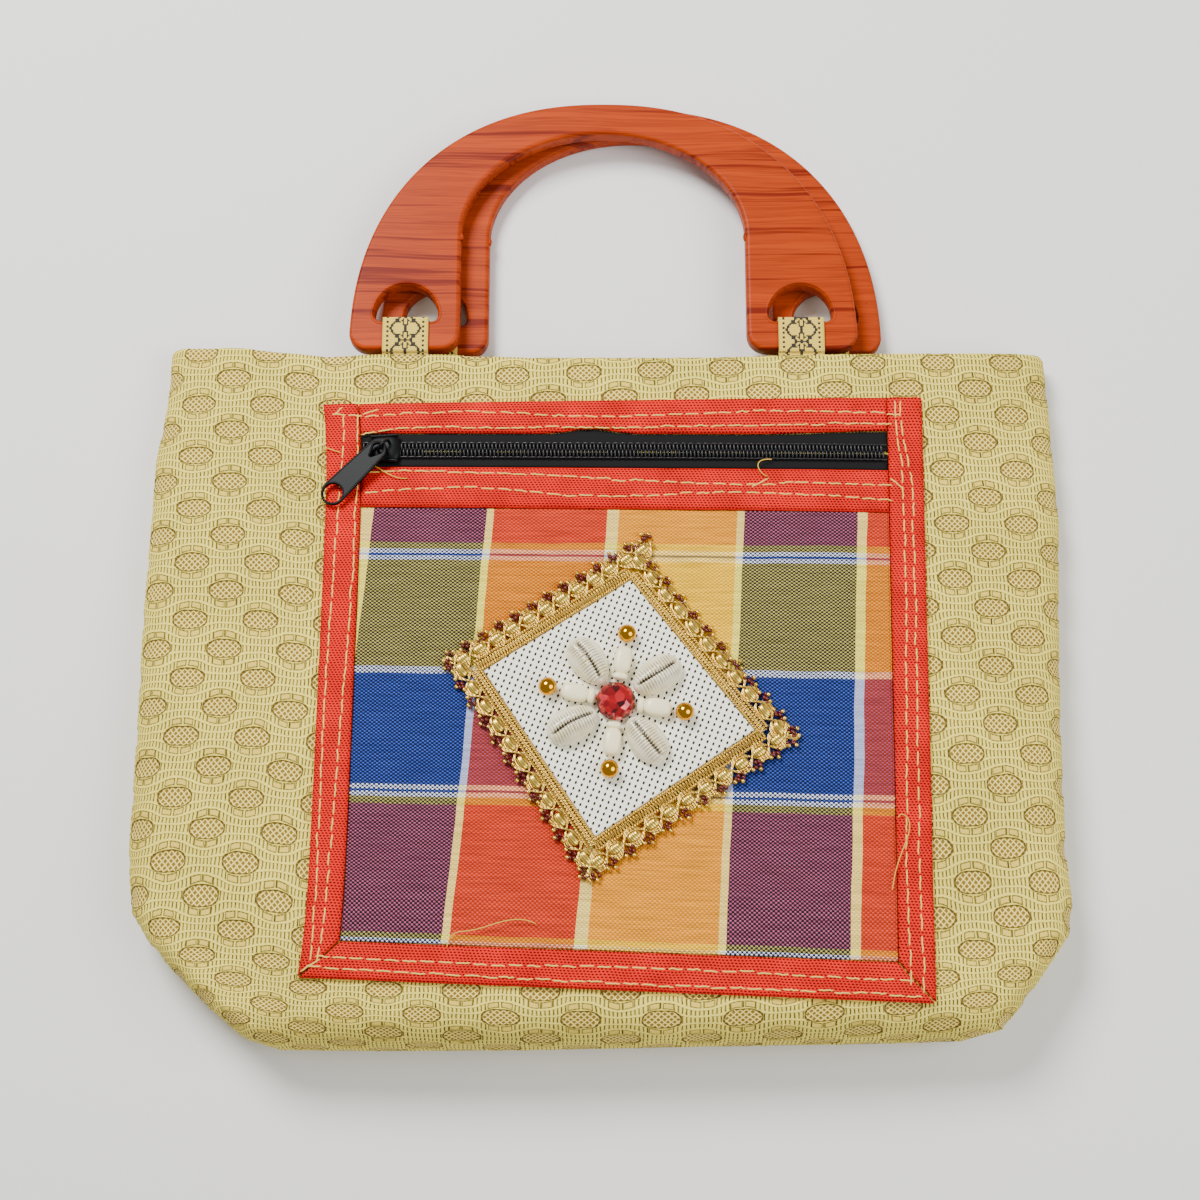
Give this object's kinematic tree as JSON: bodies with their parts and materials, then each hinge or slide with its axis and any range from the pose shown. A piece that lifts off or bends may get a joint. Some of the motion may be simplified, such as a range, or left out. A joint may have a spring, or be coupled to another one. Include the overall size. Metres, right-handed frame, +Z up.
{
  "type": "jute handbag",
  "caption": "Boxed jute handbag lying on its back, with a framed plaid zip pocket, a bead and shell patch, and flat D-shaped plate handles on ribbon loops.",
  "frame": {"origin": "on the surface the bag lies on, under the middle of its whole length and width", "axes": "+X across the bag to the viewer's right, +Y from the base to the handles, +Z up out of the front"},
  "size_m": [0.3051, 0.3246, 0.0382],
  "materials": {
    "jute": "cream honeycomb weave",
    "red_twill": "red twill tape with beige stitching",
    "plaid_cotton": "handloom check in red, yellow, blue and white",
    "black_tape": "black woven zip tape",
    "nylon_coil": "black nylon coil",
    "black_enamel": "black enamel",
    "white_canvas": "white perforated cloth",
    "gold_lace": "gold metallic lace with dark red beads",
    "ruby_acrylic": "clear ruby red, facetted",
    "cowrie_shell": "natural cowrie shell, glossy",
    "ivory_bead": "ivory white",
    "gold_bead": "bright gold plating",
    "wood_look_plastic": "orange-red with a streaked wood look",
    "ribbon_jacquard": "beige ribbon with a dark woven motif"
  },
  "bodies": {
    "bag": {"front_panel": "jute", "back_panel": "jute", "binding_left": "red_twill", "binding_right": "red_twill", "binding_top": "red_twill", "binding_middle": "red_twill", "binding_bottom": "red_twill", "pocket_cloth": "plaid_cotton", "zip_tape_upper": "black_tape", "zip_tape_lower": "black_tape", "zip_coil": "nylon_coil", "zip_slider": "black_enamel", "patch_cloth": "white_canvas", "lace_strip_1": "gold_lace", "lace_strip_2": "gold_lace", "lace_strip_3": "gold_lace", "lace_strip_4": "gold_lace", "centre_gem": "ruby_acrylic", "cowrie_1": "cowrie_shell", "cowrie_2": "cowrie_shell", "cowrie_3": "cowrie_shell", "cowrie_4": "cowrie_shell", "rice_bead_1": "ivory_bead", "rice_bead_2": "ivory_bead", "rice_bead_3": "ivory_bead", "rice_bead_4": "ivory_bead", "gold_bead_1": "gold_bead", "gold_bead_2": "gold_bead", "gold_bead_3": "gold_bead", "gold_bead_4": "gold_bead", "handle_front": "wood_look_plastic", "handle_back": "wood_look_plastic", "loop_front_left": "ribbon_jacquard", "loop_front_right": "ribbon_jacquard", "loop_back_left": "ribbon_jacquard", "loop_back_right": "ribbon_jacquard"},
    "zip_pull": {"zip_pull": "black_enamel"}
  },
  "joints": [
    {"name": "pull_hinge", "type": "hinge", "parent": "bag", "child": "zip_pull", "pos_m": [-0.07265, 0.03251, 0.02692], "axis": [-0.7064, 0.704, -0.0728], "range_deg": [0, 160]}
  ]
}
